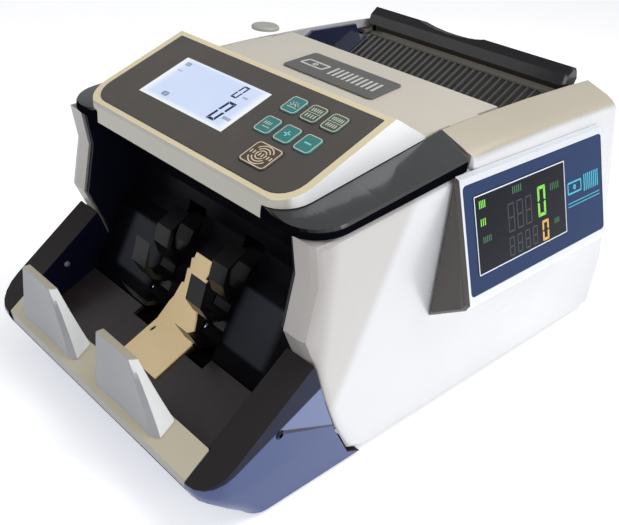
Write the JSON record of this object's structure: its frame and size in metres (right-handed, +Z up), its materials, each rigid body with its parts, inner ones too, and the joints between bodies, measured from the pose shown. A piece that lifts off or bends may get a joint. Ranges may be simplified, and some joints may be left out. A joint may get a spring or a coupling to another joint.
{
  "type": "banknote counting machine",
  "caption": "Desktop banknote counter: top hopper with note guides, front stacking pocket, slanted keypad panel with display, and a tilted side display for the customer.",
  "frame": {"origin": "bottom centre of the whole machine's bounding box, side display included, on the table", "axes": "+X to the operator's right, +Y to the back, +Z up"},
  "size_m": [0.2692, 0.4052, 0.2105],
  "materials": {
    "silver_shell": "silver metallic paint, satin",
    "beige_cover": "warm beige, fine texture",
    "champagne_frame": "champagne metallic paint",
    "gloss_shoulder": "dark brown gloss",
    "panel_film": "dark brown film",
    "lcd": "backlit pale blue lens",
    "teal_key": "teal",
    "pale_key": "pale green grey",
    "reset_key": "cream on brown",
    "navy_gloss": "navy gloss",
    "black_plastic": "black, semi-gloss",
    "floor_plastic": "dark brown",
    "ivory": "ivory",
    "white_plastic": "off-white",
    "tongue_plastic": "peach beige",
    "hopper_plastic": "dark grey, ribbed",
    "grey_plastic": "mid grey",
    "bezel": "silver white paint",
    "display_film": "navy film",
    "display_window": "smoked window",
    "steel": "turned",
    "zinc_plate": "zinc-plated sheet",
    "alloy": "turned",
    "rubber": "black rubber",
    "board": "green board",
    "rocker": "red"
  },
  "bodies": {
    "body": {"base_tray": "navy_gloss", "bottom_plate": "grey_plastic", "chassis_plate_left": "zinc_plate", "chassis_plate_right": "zinc_plate", "drive_belt": "rubber", "drive_motor": "steel", "foot_1": "rubber", "foot_2": "rubber", "foot_3": "rubber", "foot_4": "rubber", "hopper_plate": "hopper_plastic", "impeller_belt": "rubber", "lcd_lens": "lcd", "main_board": "board", "name_plate": "grey_plastic", "panel_housing": "champagne_frame", "panel_label": "panel_film", "pocket_back_panel": "black_plastic", "pocket_floor": "floor_plastic", "pocket_tongue": "tongue_plastic", "power_inlet": "black_plastic", "rear_cover": "silver_shell", "shoulder_trim_left": "gloss_shoulder", "shoulder_trim_right": "gloss_shoulder", "side_display_housing": "bezel", "side_display_label": "display_film", "side_display_window": "display_window", "side_shell_left": "silver_shell", "side_shell_right": "silver_shell", "stacker_plate": "ivory", "stopper_left": "white_plastic", "stopper_right": "white_plastic", "top_cover": "beige_cover", "transformer": "steel"},
    "handle": {"handle_bar": "black_plastic"},
    "gap_knob": {"gap_knob": "grey_plastic"},
    "power_switch": {"power_switch": "rocker"},
    "note_guide_left": {"note_guide_left": "navy_gloss"},
    "note_guide_right": {"note_guide_right": "navy_gloss"},
    "feed": {"feed_shaft": "steel", "feed_roller_left": "rubber", "feed_roller_right": "rubber", "feed_pulley": "alloy"},
    "pickup": {"pickup_shaft": "steel", "pickup_roller_left": "rubber", "pickup_roller_right": "rubber", "pickup_pulley": "alloy"},
    "impeller": {"impeller_shaft": "steel", "impeller_wheel_left": "black_plastic", "impeller_wheel_right": "black_plastic", "impeller_pulley": "alloy"},
    "motor_rotor": {"motor_pulley": "alloy"},
    "key_mode": {"key_mode": "pale_key"},
    "key_plus": {"key_plus": "teal_key"},
    "key_minus": {"key_minus": "teal_key"},
    "key_uv": {"key_uv": "teal_key"},
    "key_magnetic": {"key_magnetic": "pale_key"},
    "key_ink": {"key_ink": "pale_key"},
    "reset_key": {"reset_key": "reset_key"}
  },
  "joints": [
    {"name": "key_mode_press", "type": "slide", "parent": "body", "child": "key_mode", "axis": [0, 0.3795, -0.9252], "range_m": [0, 0.0006], "stiffness_N_per_m": 900},
    {"name": "key_plus_press", "type": "slide", "parent": "body", "child": "key_plus", "axis": [0, 0.3795, -0.9252], "range_m": [0, 0.0006], "stiffness_N_per_m": 900},
    {"name": "key_minus_press", "type": "slide", "parent": "body", "child": "key_minus", "axis": [0, 0.3795, -0.9252], "range_m": [0, 0.0006], "stiffness_N_per_m": 900},
    {"name": "key_uv_press", "type": "slide", "parent": "body", "child": "key_uv", "axis": [0, 0.3795, -0.9252], "range_m": [0, 0.0006], "stiffness_N_per_m": 900},
    {"name": "key_magnetic_press", "type": "slide", "parent": "body", "child": "key_magnetic", "axis": [0, 0.3795, -0.9252], "range_m": [0, 0.0006], "stiffness_N_per_m": 900},
    {"name": "key_ink_press", "type": "slide", "parent": "body", "child": "key_ink", "axis": [0, 0.3795, -0.9252], "range_m": [0, 0.0006], "stiffness_N_per_m": 900},
    {"name": "reset_key_press", "type": "slide", "parent": "body", "child": "reset_key", "axis": [0, 0.3795, -0.9252], "range_m": [0, 0.0006], "stiffness_N_per_m": 900},
    {"name": "power_switch_rock", "type": "hinge", "parent": "body", "child": "power_switch", "pos_m": [-0.0356, 0.19815, 0.028], "axis": [1, 0, 0], "range_deg": [0, 16]},
    {"name": "gap_knob_turn", "type": "hinge", "parent": "body", "child": "gap_knob", "pos_m": [-0.1211, 0.02215, 0.1999], "axis": [0, 0, 1], "range_deg": [-150, 150]},
    {"name": "handle_lift", "type": "hinge", "parent": "body", "child": "handle", "pos_m": [-0.0136, 0.14015, 0.18], "axis": [-1, 0, 0], "range_deg": [0, 42]},
    {"name": "note_guide_left_slide", "type": "slide", "parent": "body", "child": "note_guide_left", "axis": [1, 0, 0], "range_m": [0, 0.03]},
    {"name": "note_guide_right_slide", "type": "slide", "parent": "body", "child": "note_guide_right", "axis": [-1, 0, 0], "range_m": [0, 0.03]},
    {"name": "feed_spin", "type": "hinge", "parent": "body", "child": "feed", "pos_m": [-0.0136, 0.01115, 0.132], "axis": [1, 0, 0], "continuous": true},
    {"name": "pickup_spin", "type": "hinge", "parent": "body", "child": "pickup", "pos_m": [-0.0136, 0.06515, 0.14], "axis": [1, 0, 0], "continuous": true},
    {"name": "impeller_spin", "type": "hinge", "parent": "body", "child": "impeller", "pos_m": [-0.0136, -0.10985, 0.0745], "axis": [1, 0, 0], "continuous": true},
    {"name": "motor_rotor_spin", "type": "hinge", "parent": "body", "child": "motor_rotor", "pos_m": [-0.0136, 0.08915, 0.062], "axis": [1, 0, 0], "continuous": true}
  ],
  "couplings": [
    {"joint": "note_guide_right_slide", "follows": "note_guide_left_slide", "ratio": 1},
    {"joint": "pickup_spin", "follows": "feed_spin", "ratio": 1.25},
    {"joint": "impeller_spin", "follows": "feed_spin", "ratio": 1.875},
    {"joint": "motor_rotor_spin", "follows": "feed_spin", "ratio": 1.875}
  ]
}
